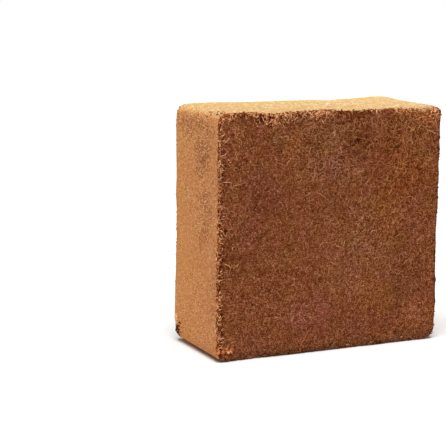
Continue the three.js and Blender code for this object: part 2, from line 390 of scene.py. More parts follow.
# Broad places of another shade: reach in mm, and how much lighter, yellower and redder
Tint = namedtuple("Tint", "name column row reach_x reach_z light warm red")
TINTS = (
    Tint("dark patch, upper right", 357, 142, 24, 30, -0.27, -0.4, 0.3),
    Tint("dark patch right of it", 388, 141, 18, 24, -0.14, 0.0, 0.2),
    Tint("dark spell left of it", 321, 142, 24, 32, -0.11, 0.0, 0.0),
    Tint("darker stretch, upper right", 404, 160, 60, 60, -0.12, 0.5, 0.5),
    Tint("purplish spot, upper middle", 335, 166, 18, 18, -0.06, -1.2, 0.2),
    Tint("dark spell, upper left", 266, 195, 34, 30, -0.09, -0.7, -0.2),
    Tint("purplish band, left", 250, 235, 24, 46, -0.04, -0.7, 0.0),
    Tint("yellowish patch, upper left", 292, 148, 15, 26, 0.06, 0.8, -0.1),
    Tint("olive patch, upper left", 278, 138, 16, 18, -0.04, 0.0, -0.9),
    Tint("olive spot, left", 260, 168, 13, 17, 0.0, 0.0, -0.5),
    Tint("olive spot, middle left", 294, 243, 13, 15, 0.0, 0.0, -0.4),
    Tint("olive spot, right of the middle", 352, 250, 14, 30, 0.0, 0.0, -0.5),
    Tint("olive spot, middle", 334, 202, 15, 15, -0.05, -0.3, -0.3),
    Tint("paler patch, right of the middle", 350, 258, 56, 60, 0.11, 0.0, -0.1),
    Tint("yellowish patch, right", 388, 215, 24, 40, 0.03, 0.9, 0.2),
    Tint("yellowish patch, upper right", 408, 170, 32, 34, 0.0, 0.3, 0.4),
    Tint("yellowish patch, low right", 372, 290, 36, 24, 0.04, 0.5, 0.1),
    Tint("paler patch, low", 306, 312, 30, 22, 0.1, -0.2, 0.2),
    Tint("purplish patch, low", 312, 318, 44, 34, 0.0, -0.8, 0.1),
    Tint("purplish spot, low left", 252, 336, 24, 20, 0.02, -0.6, 0.0),
    Tint("purplish spot, low middle", 356, 330, 30, 18, 0.0, -0.7, 0.0),
    Tint("paler corner, low right", 415, 313, 28, 26, 0.13, 0.2, 0.3),
    Tint("dark spot, right", 401, 236, 15, 20, -0.12, 0.0, -0.1),
    Tint("dark spot, low right", 399, 285, 17, 34, -0.1, -0.2, -0.5),
    Tint("purplish spot, low right", 417, 278, 18, 30, -0.02, -0.7, 0.0),
    Tint("dark patch, left rim", 229, 255, 13, 22, -0.17, -0.1, -0.5),
    Tint("paler corner, upper left", 234, 138, 20, 36, 0.1, 0.2, 0.0),
    Tint("paler stretch, low", 260, 312, 60, 14, 0.05, 0.0, 0.0),
    Tint("paler corner, lower left", 229, 338, 15, 22, 0.07, 0.0, 0.0),
    Tint("greyish patch below the top", 246, 119, 18, 8, -0.08, -0.5, -0.2),
    Tint("paler fray below the top, left", 271, 123, 17, 7, 0.12, 0.0, 0.3),
    Tint("paler fray below the top, middle", 308, 121, 26, 9, 0.12, 0.0, 0.2),
    Tint("darker stretch, left rim", 219, 215, 6, 42, -0.08, 0.0, 0.2),
    Tint("darker stretch, left rim low", 221, 322, 6, 24, -0.14, 0.0, 0.4),
    Tint("dark spell under the top, middle", 352, 114, 32, 11, -0.2, 0.0, 0.2),
    Tint("dark spell under the top, right", 392, 116, 18, 8, -0.12, 0.0, 0.4),
    # Painted shade under the tangle of loops below the top arris
    Tint("dark floor of the tangle", 270, 119, 26, 8, -0.16, 0.0, 0.5),
    Tint("red patch, top left corner", 228, 117, 13, 9, 0.0, 0.0, 0.9),
    Tint("red patch under the top, right", 399, 111, 14, 6, 0.12, 0.0, 0.9),
    Tint("orange corner, top right", 426, 114, 28, 16, 0.24, 0.9, 0.7),
    Tint("red lumps, lower left corner", 224, 352, 18, 9, -0.03, -0.2, 1.0),
    Tint("orange spill on the top", 321, 117, 14, 10, 0.08, 0.2, 0.5),
)
# Painted shade down the right edge, where the arris turns away from the light: its strength, the distances
# between which it fades out, and how much they change
RIGHT_EDGE_PAINTED_SHADE = -0.9
RIGHT_EDGE_BAND = mm(1.5, 4.5)
RIGHT_EDGE_CHANGE = 1.2 * MM
# Painted shade in the darker spots of the rims, under their bristles and crumbs
RIM_PAINTED_SHADE = -0.2
# The heights between which the painted shade at the foot of the pressed faces fades out, greyed by painted
# light from the floor, and how much they change
FOOT_SHADE_BAND = mm(1, 16)
FOOT_SHADE_CHANGE = 2 * MM
# A place fades out between these shares of its reach, and only what lies in front of this share of the
# half thickness takes it
PLACE_EDGE = (0.25, 1.25)
FRONT_FROM = 0.75

# Worn, rougher and darker spots of the moulded sides: centre, reach in y and z in mm, and strength
WORN_SPOTS = (
    ((-150, -17, 240), (24, 36), 1.2),
    ((-150, -10, 216), (14, 10), 1.2),
    ((-150, -24, 188), (10, 12), 1.1),
    ((-150, -40, 172), (9, 11), 1.0),
    ((-150, -22, 160), (24, 46), 0.5),
    ((-150, 5, 266), (60, 16), 1.0),
    ((-150, -52, 75), (10, 46), 0.3),
)
# A worn spot fades out between these shares of its reach, and goes no deeper than this into its side
WORN_EDGE = (0.35, 1.15)
WORN_DEPTH = 12 * MM


def near_place(points, column, row, reach_x, reach_z):
    """1 at a place of the front face, falling smoothly to 0 at the given reach around it."""
    middle = on_front(column, row)
    across = (points[..., 0] - middle[0]) / (reach_x * MM)
    up = (points[..., 2] - middle[2]) / (reach_z * MM)
    in_front = points[..., 1] < -FRONT_FROM * HALF_DEPTH
    return in_front * (1 - smooth_step(np.hypot(across, up), *PLACE_EDGE))


def strongest(points, places, field):
    """The greatest value of a field of the places at each point, where each fades out around its place."""
    value = np.zeros(points.shape[:-1])
    for place in places:
        near = near_place(points, place.column, place.row, place.reach_x, place.reach_z)
        value = np.maximum(value, getattr(place, field) * near)
    return value


def fray(points):
    """How much pith and moulded skin break up into each other at each point of the front rims."""
    return strongest(points, FRAYED, "strength")


def looseness(points):
    """How loose the mat is at each point, from 0 to 1."""
    return strongest(points, CURLY, "loose")


def tints(points):
    """How much lighter, yellower and redder the coir is at each point than elsewhere; the lightness holds
    painted shade down the right edge and in the rims.
    """
    light = np.zeros(points.shape[:-1])
    warm = np.zeros(points.shape[:-1])
    red = np.zeros(points.shape[:-1])
    for tint in TINTS:
        near = near_place(points, tint.column, tint.row, tint.reach_x, tint.reach_z)
        light += tint.light * near
        warm += tint.warm * near
        red += tint.red * near
    near_face = face_depth(points) < FACE_LAYER
    # Painted shade: a dark line down the right edge, where the arris turns away from the light
    from_right = HALF_WIDTH - points[..., 0] + RIGHT_EDGE_CHANGE * noise(points, 6 * MM, 62)
    right = 1 - smooth_step(from_right, *RIGHT_EDGE_BAND)
    right = right * smooth_step(noise(points, 4 * MM, 64), -0.9, 0.1)
    # Painted shade in the darker spots of the frayed rims, under their bristles and crumbs
    patchy = smooth_step(noise(points, 6 * MM, 63), -0.5, 0.3)
    frayed = rim_nearness(points) * (1 - quietness(points)) * patchy
    light += near_face * (RIGHT_EDGE_PAINTED_SHADE * right + RIM_PAINTED_SHADE * frayed)
    return light, warm, red


def foot_painted_shade(points):
    """Painted shade at the foot of the pressed faces, greyed by painted light from the floor: 1 at the foot,
    where they are darker and greyer, and 0 above it.
    """
    height = points[..., 2] + FOOT_SHADE_CHANGE * noise(points, 9 * MM, 61)
    return (face_depth(points) < FACE_LAYER) * (1 - smooth_step(height, *FOOT_SHADE_BAND))


def remeshed_skin():
    """The solid's shape as an even fine mesh, with the facets and voxel steps smoothed out."""
    mesh = bpy.data.objects[BLOCK].data.copy()
    holder = bpy.data.objects.new("skin_source", mesh)
    bpy.context.collection.objects.link(holder)
    remesh = holder.modifiers.new("remesh", "REMESH")
    remesh.mode = "VOXEL"
    remesh.voxel_size = VOXEL
    smooth = holder.modifiers.new("smooth", "SMOOTH")
    smooth.factor = SMOOTHING_FACTOR
    smooth.iterations = SMOOTHING_ROUNDS
    shown = holder.evaluated_get(bpy.context.evaluated_depsgraph_get())
    fine = bpy.data.meshes.new_from_object(shown)
    bpy.data.objects.remove(holder)
    for name in [a.name for a in fine.attributes if not a.is_required and not a.name.startswith(".")]:
        fine.attributes.remove(fine.attributes[name])
    return fine


def hole_depth(points):
    """How deep the named holes cut into the front face at each point."""
    depth = np.zeros(points.shape[:-1])
    for hole in HOLES:
        near = near_place(points, hole.column, hole.row, hole.radius, hole.radius)
        depth = np.maximum(depth, HOLE_DEPTH * hole.radius * MM * near)
    return depth


def wear(points):
    """1 in the middle of the worn spots of the moulded sides, 0 away from them."""
    worn = np.zeros(points.shape[:-1])
    for (x, y, z), (reach_y, reach_z), strength in WORN_SPOTS:
        away_y = (points[..., 1] - y * MM) / (reach_y * MM)
        away_z = (points[..., 2] - z * MM) / (reach_z * MM)
        near = 1 - smooth_step(np.hypot(away_y, away_z), *WORN_EDGE)
        on_side = np.abs(points[..., 0] - x * MM) < WORN_DEPTH
        worn = np.maximum(worn, strength * near * on_side)
    patchy = 0.7 + 0.5 * noise(drawn_out(points), 9 * MM, 31)
    return np.clip(worn * patchy, 0, 1)


def drawn_out(points):
    """The points squeezed through the thickness, so that noise on them comes out drawn out that way."""
    return points / np.array([1, SIDE_STRETCH, 1])


def skin_relief(points):
    """How far the skin stands proud of the smooth shape at each point, in metres."""
    pressed = pressed_mask(points)
    rim = rim_nearness(points)
    loose = looseness(points)
    grain = (GRAIN_HEIGHT + LOOSE_GRAIN_HEIGHT * loose) * noise(points, 3.2 * MM, 11)
    grain = grain + 0.03 * noise(points, 7 * MM, 12)
    pits = -(PIT_DEPTH + LOOSE_PIT_DEPTH * loose) * np.maximum(noise(points, 4.0 * MM, 13) - 0.5, 0)
    side = 0.05 * noise(drawn_out(points), 3 * MM, 14) + 0.07 * noise(points, 13 * MM, 15)
    rough = 0.3 * noise(drawn_out(points), 3 * MM, 18) - 0.1
    side = side + wear(points) * rough
    crumble = 0.5 * noise(points, 3.6 * MM, 16) + 0.4 * noise(points, 7 * MM, 17)
    rim_pits = -RIM_PIT_DEPTH * np.maximum(noise(points, 4.4 * MM, 19) - 0.2, 0)
    frayed = rim * (1 - QUIET_RELIEF * quietness(points))
    height = pressed * (grain + pits) + (1 - pressed) * side + frayed * (crumble + rim_pits)
    return MM * height - hole_depth(points)


def tree_of(mesh, points):
    faces = [tuple(p.vertices) for p in mesh.polygons]
    return BVHTree.FromPolygons([Vector(p) for p in points], faces)


def build_skin(material):
    mesh = remeshed_skin()
    smooth_points = vertex_array(mesh)
    normals = vertex_array(mesh, "normal")
    smooth_tree = tree_of(mesh, smooth_points)
    relief = skin_relief(smooth_points)
    base = smooth_points[:, 2] < BASE_HEIGHT
    relief = np.where(base, np.minimum(relief, 0) * BASE_RELIEF, relief)
    points = smooth_points + normals * relief[:, None]
    points[:, 2] = np.maximum(points[:, 2], 0)
    mesh.vertices.foreach_set("co", points.astype(np.float32).ravel())
    add_attribute(mesh, "relief", relief / MM)
    add_attribute(mesh, "over_arris", over_arris(smooth_points) - pith_reach(smooth_points))
    add_attribute(mesh, "fray", fray(smooth_points))
    add_attribute(mesh, "loose", looseness(smooth_points))
    add_attribute(mesh, "wear", wear(smooth_points))
    mesh.update()
    skin = new_object("coir_skin", mesh, material)
    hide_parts(BLOCK)
    return smooth_tree


# Fibres

# How much of its bend a fibre keeps at each step, how much is new, and the length that a bend is given for
BEND_KEPT = 0.75
BEND_CHANGE = 0.55
BEND_LENGTH = 3 * MM
# How far along a fibre its arch is highest, and how steeply the arch falls off
ARCH_TOP = (0.35, 0.65)
ARCH_POWER = 2.2
# How much of the skin's relief the fibres follow, and how deep their paths lie in it
FOLLOWED_RELIEF = 0.75
SINK = 0.15 * MM
SIDE_SINK = 0.12 * MM
# The middles of fibres, and of grains and crumbs, stay at least this many radii above the ground
FIBRE_CLEARANCE = 1.05
CRUMB_CLEARANCE = 1.3
# A fibre of a mat or a curl is left out if any of it lies deeper than this below the pressed face
MAT_DEPTH = 3 * MM
# How widely curls, loops and crumbs lie around their places, as a share of the reach
SPREAD = 0.5
# Tones run from 0, dark, to 1, pale. In the mat: the usual tone, its spread, and dark and pale tones.
MAT_TONE = 0.43
MAT_TONE_SPREAD = 0.11
DARK_TONES = (0.07, 0.28)
PALE_TONES = (0.6, 0.85)
# Where the mat is loose: how much wider its tones spread, and how much darker the dark ones are
LOOSE_SPREAD = 0.8
LOOSE_DARKENING = 0.09
# Shares of pale and of dark ones among fibres and grains, before their place changes them
MAT_SHARES = (0.02, 0.25)
GRAIN_SHARES = (0.03, 0.3)
CURL_TONES = (0.66, 0.93)
SIDE_TONES = (0.2, 1.0)
# Along the rims: middling, dark and pale tones, and the share of dark ones and, before their place
# changes it, of pale ones
RIM_MIDDLE_TONES = (0.25, 0.55)
RIM_DARK_TONES = (0.0, 0.2)
RIM_PALE_TONES = (0.7, 1.0)
RIM_SHARE = 0.45
# How many random places are tried for each that a rim can take, and how far a quiet rim thins out its
# places and its pale tones
RIM_TRIES = 40
QUIET_THINNING = 0.9


def unit(vectors):
    return vectors / np.maximum(np.linalg.norm(vectors, axis=-1, keepdims=True), 1e-12)


def snapped(tree, points):
    """The nearest points of the skin and its normals there."""
    places = np.empty_like(points)
    normals = np.empty_like(points)
    for index, point in enumerate(points):
        place, normal, _, _ = tree.find_nearest(Vector(point))
        places[index] = place
        normals[index] = normal
    return places, normals


def creep(tree, starts, rng, lengths, steps, curl):
    """Paths of fibres that creep over the skin. Returns centres and normals, (n, steps + 1, 3)."""
    count = len(starts)
    place, normal = snapped(tree, starts)
    heading = unit(np.cross(normal, rng.normal(size=(count, 3))))
    bend = rng.normal(0, curl, count)
    stride = (lengths / steps)[:, None]
    centres = [place]
    normals = [normal]
    for _ in range(steps):
        bend = BEND_KEPT * bend + rng.normal(0, BEND_CHANGE * curl, count)
        angle = (bend * stride[:, 0] / BEND_LENGTH)[:, None]
        aside = np.cross(normal, heading)
        heading = heading * np.cos(angle) + aside * np.sin(angle)
        place, normal = snapped(tree, place + heading * stride)
        heading = unit(heading - normal * np.sum(heading * normal, axis=1, keepdims=True))
        centres.append(place)
        normals.append(normal)
    return np.stack(centres, 1), np.stack(normals, 1)


def tubes(centres, normals, radii):
    """Closed three-sided tubes along the given paths: their points and faces."""
    count, rings = radii.shape
    tangents = unit(np.gradient(centres, axis=1))
    aside = unit(np.cross(tangents, normals))
    above = np.cross(aside, tangents)
    corners = []
    for turn in np.radians((90, 210, 330)):
        corners.append(centres + radii[..., None] * (math.cos(turn) * aside + math.sin(turn) * above))
    points = np.stack(corners, 2).reshape(-1, 3)
    first = (np.arange(count) * rings * 3)[:, None, None]
    ring = (np.arange(rings - 1) * 3)[None, :, None]
    corner = np.arange(3)[None, None, :]
    here = first + ring + corner
    beside = first + ring + (corner + 1) % 3
    quads = np.stack([here, beside, beside + 3, here + 3], -1).reshape(-1, 4)
    start_caps = (first + np.array([2, 1, 0])[None, None, :]).reshape(-1, 3)
    end_caps = (first + (rings - 1) * 3 + np.array([0, 1, 2])[None, None, :]).reshape(-1, 3)
    return points, [quads, start_caps, end_caps]


def taper(along):
    """How thick a fibre is along its length, as a share of its full thickness."""
    return 0.45 + 0.55 * np.sin(np.pi * (0.1 + 0.8 * along))


def lay_fibres(name, tree, starts, kind, tones, material, rng, deepest=None, sink=SINK):
    """One joined mesh of the fibres of a kind, from the given starting places."""
    count = len(starts)
    lengths = rng.uniform(*kind.length, count)
    centres, normals = creep(tree, starts, rng, lengths, kind.steps, kind.curl)
    thickness = rng.uniform(*kind.thickness, count)[:, None]
    arch = rng.uniform(*kind.lift, count)[:, None]
    top = rng.uniform(*ARCH_TOP, count)[:, None]
    if deepest is not None:
        kept = np.all(face_depth(centres) < deepest, axis=1)
        fields = (centres, normals, thickness, arch, top, tones)
        centres, normals, thickness, arch, top, tones = (field[kept] for field in fields)
    along = np.linspace(0, 1, kind.steps + 1)[None, :]
    bow = 1 - np.abs((along - top) / np.maximum(top, 1 - top)) ** ARCH_POWER
    rise = arch * bow - sink + FOLLOWED_RELIEF * skin_relief(centres)
    centres = centres + normals * rise[..., None]
    radii = 0.5 * thickness * taper(along)
    centres[..., 2] = np.maximum(centres[..., 2], radii * FIBRE_CLEARANCE)
    points, faces = tubes(centres, normals, radii)
    mesh = mesh_from_arrays(name, points, faces)
    add_attribute(mesh, "tone", np.repeat(tones, (kind.steps + 1) * 3))
    new_object(name, mesh, material)


def face_starts(rng, count, side, margin):
    """Places on one pressed face, one in each cell of an even grid, at least a margin inside it."""
    step = 2 * math.sqrt(HALF_WIDTH * HALF_HEIGHT / count)
    x, z = np.meshgrid(np.arange(LOW[0], HIGH[0], step), np.arange(LOW[2], HIGH[2], step))
    places = np.stack([x.ravel(), np.full(x.size, side * HALF_DEPTH), z.ravel()], 1)
    places[:, [0, 2]] += rng.uniform(0, step, (x.size, 2))
    return places[outline_inset(places) > margin]


def even_chances(rng, count):
    """Random values from 0 to 1, so that each four in a row have one in every quarter."""
    quarters = rng.permuted(np.tile(np.arange(4), (math.ceil(count / 4), 1)), axis=1)
    return (quarters.ravel()[:count] + rng.random(count)) / 4


def mat_tones(rng, starts, pale_share, dark_share):
    """Tones in the mat, with more pale ones by the rims, and more pale and dark ones where loose."""
    count = len(starts)
    near_rim = 1 - smooth_step(outline_inset(starts), 6 * MM, 34 * MM)
    loose = looseness(starts)
    tones = np.clip(MAT_TONE + rng.normal(0, MAT_TONE_SPREAD, count) * (1 + LOOSE_SPREAD * loose), 0, 1)
    chance = even_chances(rng, count)
    pale = chance > 1 - pale_share * (0.6 + 3 * near_rim + 11 * loose)
    dark = chance < dark_share * (0.95 + loose)
    tones[dark] = rng.uniform(*DARK_TONES, dark.sum()) - LOOSE_DARKENING * loose[dark]
    tones[pale] = rng.uniform(*PALE_TONES, pale.sum())
    return tones


def build_mat(name, tree, side, kind, material, seed, margin=2.5 * MM):
    rng = np.random.default_rng(seed)
    starts = face_starts(rng, kind.count, side, margin)
    tones = mat_tones(rng, starts, *MAT_SHARES)
    lay_fibres(name, tree, starts, kind, tones, material, rng, deepest=MAT_DEPTH)


def build_curls(name, tree, material, seed):
    """Loose pale curls, thickest in the named places."""
    rng = np.random.default_rng(seed)
    starts = []
    for place in CURLY:
        spread = rng.normal(0, SPREAD, (place.count, 3)) * np.array([place.reach_x, 0, place.reach_z])
        starts.append(np.array(on_front(place.column, place.row)) + MM * spread)
    starts = np.vstack(starts)
    starts = starts[outline_inset(starts) > 2 * MM]
    tones = rng.uniform(*CURL_TONES, len(starts))
    lay_fibres(name, tree, starts, CURLS, tones, material, rng, deepest=MAT_DEPTH)


def rim_starts(rng, count, side):
    """Random places in the rim of one pressed face and on its arris, in clumps."""
    tries = RIM_TRIES * count
    x = rng.uniform(LOW[0], HIGH[0], tries)
    z = rng.uniform(LOW[2], HIGH[2], tries)
    places = np.stack([x, np.full(tries, side * HALF_DEPTH), z], 1)
    inset = outline_inset(places)
    clumps = 0.55 + 0.6 * noise(places, 9 * MM, 51)
    thinned = 1 - QUIET_THINNING * quietness(places)
    chance = rim_nearness(places) * clumps * np.exp(-inset / RIM_WIDTH) * thinned
    in_pith = (inset > -0.5 * MM) & (over_arris(places) < pith_reach(places))
    kept = in_pith & (rng.random(tries) < chance)
    return places[kept][:count]


def fringe_tones(rng, starts):
    """Tones along the rims: pale, middling or dark by chance, with few pale ones where quiet or dark, and
    darker ones where the tints and the painted shade of the right edge and rims darken the face.
    """
    count = len(starts)
    light, _, _ = tints(starts)
    tones = np.maximum(rng.uniform(*RIM_MIDDLE_TONES, count) + 0.3 * np.minimum(light, 0), 0)
    thinned = 1 - QUIET_THINNING * quietness(starts)
    pale = rng.random(count) < RIM_SHARE * thinned * np.clip(1.3 + 3 * light, 0.3, 1.3)
    dark = rng.random(count) < RIM_SHARE
    tones[dark] = rng.uniform(*RIM_DARK_TONES, dark.sum())
    tones[pale] = rng.uniform(*RIM_PALE_TONES, pale.sum())
    return tones


def build_fringe(name, tree, side, kind, material, seed, deepest):
    rng = np.random.default_rng(seed)
    starts = rim_starts(rng, kind.count, side)
    if side == FRONT and kind is LOOPS:
        starts = np.vstack([starts] + [around(rng, tangle, tangle.loops) for tangle in TANGLES])
    tones = fringe_tones(rng, starts)
    lay_fibres(name, tree, starts, kind, tones, material, rng, deepest=deepest)


def build_side_fibres(name, tree, material, seed):
    """Short fibres pressed flush into the moulded sides and the top."""
    rng = np.random.default_rng(seed)
    count = SIDE_FIBRES.count
    width = 2 * HALF_WIDTH
    height = 2 * HALF_HEIGHT
    along = rng.uniform(0, width + 2 * height, count)
    x = np.clip(along - height, 0, width) - HALF_WIDTH
    z = np.minimum(np.minimum(along, height), 2 * height + width - along)
    y = rng.uniform(-HALF_DEPTH + 5 * MM, HALF_DEPTH - 5 * MM, count)
    starts = np.stack([x, y, z], 1)
    tones = rng.uniform(*SIDE_TONES, count)
    lay_fibres(name, tree, starts, SIDE_FIBRES, tones, material, rng, sink=SIDE_SINK)


# Curls and strokes that stand out on the front face: tone, size in mm and route in pixels
Strand = namedtuple("Strand", "name tone size route")
STRANDS = (
    Strand("left rim, upright", 0.95, 1.2, ((220.6, 139.5), (219.8, 143.0), (219.4, 146.5))),
    Strand("left rim, blob", 1.0, 1.8, ((220.5, 129.3), (220.8, 131.2))),
    Strand("left rim, lower blob", 0.9, 1.5, ((220.5, 133.0), (220.8, 134.6))),
    Strand("slanting stroke", 0.95, 1.0, ((229.4, 139.0), (227.0, 141.2), (224.6, 143.2))),
    Strand("short stroke beside it", 0.75, 0.8, ((222.6, 140.2), (224.2, 142.0))),
    Strand("small loop", 0.85, 1.0,
           ((225.6, 148.6), (227.3, 151.4), (225.4, 154.2), (222.6, 156.0), (220.6, 155.4))),
    Strand("bright speck", 1.0, 2.0, ((227.7, 159.7), (228.9, 160.3))),
    Strand("speck below it", 0.85, 1.4, ((229.3, 162.9), (231.4, 162.3))),
    Strand("forked strand", 0.95, 1.3,
           ((221.4, 158.2), (220.2, 161.4), (220.3, 164.6), (218.6, 167.4), (217.8, 170.0))),
    Strand("fork", 0.85, 1.0, ((220.4, 164.2), (222.6, 165.4), (224.8, 167.6))),
    Strand("left rim, slanting", 0.8, 1.1, ((217.8, 172.4), (219.4, 173.2), (221.0, 175.0))),
    Strand("level strand", 0.85, 1.1, ((219.4, 181.5), (223.9, 182.4), (229.2, 182.5), (232.4, 183.2))),
    Strand("branch under it", 0.8, 1.0, ((224.0, 183.0), (223.0, 185.4), (221.4, 187.6))),
    Strand("left rim, curved drop", 0.8, 1.0, ((217.3, 186.0), (217.2, 189.0), (218.6, 191.0))),
    Strand("blob over the square loop", 0.95, 1.6, ((218.6, 223.0), (220.2, 223.6))),
    Strand("strand from the blob", 0.75, 1.0,
           ((220.2, 223.6), (222.0, 225.4), (223.8, 225.2), (224.4, 223.6))),
    Strand("square loop", 0.75, 1.0, ((227.2, 229.9), (230.0, 229.6), (231.5, 228.0), (231.0, 225.8))),
    Strand("left side of it", 0.8, 1.1, ((223.2, 228.4), (223.4, 232.4), (224.4, 235.4), (226.2, 236.6))),
    Strand("slanting to the arris", 0.9, 1.2, ((222.9, 237.8), (220.2, 240.2), (217.9, 242.8))),
    Strand("blob under it", 0.95, 1.5, ((222.0, 243.4), (222.8, 244.4))),
    Strand("upright stub", 0.8, 1.4, ((232.0, 246.6), (232.2, 250.6))),
    Strand("stroke into the dark patch", 0.85, 1.1, ((224.0, 263.8), (227.4, 265.2), (231.4, 267.8))),
    Strand("stroke beside it", 0.8, 1.1, ((238.8, 263.6), (236.2, 265.8), (233.0, 268.8))),
    Strand("bright end at the arris", 0.95, 1.4, ((216.2, 305.4), (217.2, 307.6))),
    Strand("low crossing strand", 0.8, 1.0, ((218.0, 311.6), (219.6, 314.6), (221.4, 318.2))),
    Strand("low crossing strand back", 0.8, 1.0, ((224.0, 315.6), (221.2, 318.8), (217.6, 323.2))),
    Strand("low ring", 0.65, 0.8,
           ((226.0, 305.0), (229.0, 305.6), (230.2, 308.6), (228.6, 311.6), (225.6, 311.4))),
    Strand("speck low down", 1.0, 1.6, ((235.8, 332.8), (236.8, 333.4))),
    Strand("low stroke", 0.75, 0.8, ((231.4, 343.3), (234.6, 342.0), (237.6, 341.6))),
    Strand("lower left lump", 0.74, 2.6, ((221.0, 347.6), (218.8, 348.6), (218.4, 351.2), (220.4, 353.4))),
    Strand("lower left second lump", 0.72, 2.8,
           ((225.4, 351.6), (228.6, 351.2), (231.6, 353.0), (230.6, 355.8))),
    Strand("curl under the top", 0.85, 1.3,
           ((247.3, 114.6), (250.0, 112.9), (253.4, 113.7), (255.6, 116.6))),
    Strand("tangle stroke", 0.85, 1.1, ((258.4, 119.2), (260.0, 121.4), (259.0, 123.4))),
    Strand("second tangle stroke", 0.85, 1.1, ((263.4, 119.4), (264.8, 121.4), (267.0, 122.2))),
    Strand("third tangle stroke", 0.9, 1.1, ((274.6, 123.2), (275.2, 120.4), (277.0, 118.0))),
    Strand("prong", 0.9, 1.1, ((287.1, 119.8), (286.2, 117.0), (284.9, 114.0))),
    Strand("second prong", 0.85, 1.1, ((291.6, 119.8), (290.2, 117.0), (288.6, 114.0))),
    Strand("stroke over the top arris", 1.0, 1.5, ((319.2, 114.2), (319.6, 111.4), (319.9, 109.0))),
    Strand("short stroke under the top", 0.85, 1.1, ((332.0, 113.4), (333.6, 115.6), (334.8, 118.0))),
    Strand("faint stroke under the top", 0.7, 1.0, ((349.2, 112.6), (349.8, 115.6), (349.9, 118.4))),
    Strand("branched stub", 0.95, 1.2, ((334.2, 137.4), (334.7, 134.4), (334.4, 132.4))),
    Strand("branches of the stub", 0.9, 1.1, ((332.2, 133.2), (334.2, 132.4), (335.8, 130.0))),
    Strand("level line", 0.62, 0.65, ((344.4, 137.6), (351.0, 137.1), (358.6, 137.8), (364.0, 138.6))),
    Strand("long slanting pair", 0.62, 0.9,
           ((291.6, 127.0), (294.4, 131.2), (297.6, 136.4), (300.4, 141.0))),
    Strand("stroke, upper right", 0.8, 1.0, ((408.3, 126.3), (411.0, 128.0), (413.4, 131.0))),
    Strand("stroke below it", 0.72, 0.9, ((405.0, 130.7), (407.4, 133.2), (409.6, 137.0))),
    Strand("long stroke at the right", 0.9, 1.1, ((427.3, 130.0), (431.4, 131.2), (435.4, 133.8))),
    Strand("arc at the right", 0.75, 1.1, ((426.4, 123.0), (429.4, 121.2), (433.4, 122.4), (435.1, 125.8))),
    Strand("upright at the right", 0.75, 1.1, ((436.3, 122.6), (436.8, 125.4), (436.7, 128.2))),
    Strand("stroke, right", 0.75, 0.9, ((425.0, 160.0), (430.0, 160.6), (435.4, 162.2))),
    Strand("speck, right", 0.95, 1.6, ((411.4, 142.4), (412.4, 143.0))),
    Strand("speck, upper left", 0.85, 1.4, ((243.2, 157.6), (244.0, 158.4))),
    Strand("speck beside it", 0.8, 1.4, ((250.0, 160.6), (250.2, 162.0))),
    Strand("speck, middle left", 0.85, 1.3, ((277.2, 191.6), (278.2, 192.2))),
    Strand("round curl", 0.7, 0.9,
           ((403.4, 166.8), (406.0, 169.0), (405.0, 172.4), (401.6, 172.8), (400.2, 169.6), (402.2, 167.2))),
    Strand("long slanting stroke low down", 0.7, 0.9,
           ((299.0, 348.0), (303.0, 341.0), (306.5, 334.5), (308.2, 330.6))),
)
SMOOTH_STEPS = 3
# A strand's greatest radius as a share of its size, how high it arches, and how much relief it follows
STRAND_RADIUS = 0.35
STRAND_ARCH = 0.4 * MM
STRAND_RELIEF = 0.3


def spline(route):
    """A smooth path through the given points, closely enough stepped to look round."""
    ends = np.vstack([2 * route[0] - route[1], route, 2 * route[-1] - route[-2]])
    path = []
    for before, start, end, after in zip(ends, ends[1:], ends[2:], ends[3:]):
        for step in range(SMOOTH_STEPS):
            t = step / SMOOTH_STEPS
            cubic = 3 * start - before - 3 * end + after
            square = 2 * before - 5 * start + 4 * end - after
            path.append(start + 0.5 * t * (end - before + t * (square + t * cubic)))
    path.append(route[-1])
    return np.array(path)


def build_strands(name, tree, material):
    """The named curls and strokes, laid on the front face."""
    all_points = []
    all_faces = [[], [], []]
    all_tones = []
    used = 0
    for strand in STRANDS:
        path = spline(np.array([on_front(*pixel) for pixel in strand.route]))
        centres, normals = snapped(tree, path)
        along = np.linspace(0, 1, len(path))
        radii = STRAND_RADIUS * strand.size * MM * taper(along)
        rise = STRAND_RELIEF * skin_relief(centres) + radii + STRAND_ARCH * np.sin(np.pi * along)
        centres = centres + normals * rise[:, None]
        points, faces = tubes(centres[None], normals[None], radii[None])
        all_points.append(points)
        for group, made in zip(all_faces, faces):
            group.append(made + used)
        used += len(points)
        all_tones.append(np.full(len(points), strand.tone))
    mesh = mesh_from_arrays(name, np.vstack(all_points), [np.vstack(group) for group in all_faces])
    add_attribute(mesh, "tone", np.concatenate(all_tones))
    new_object(name, mesh, material)


# Grains of pith, and crumbs of pith and chopped fibre

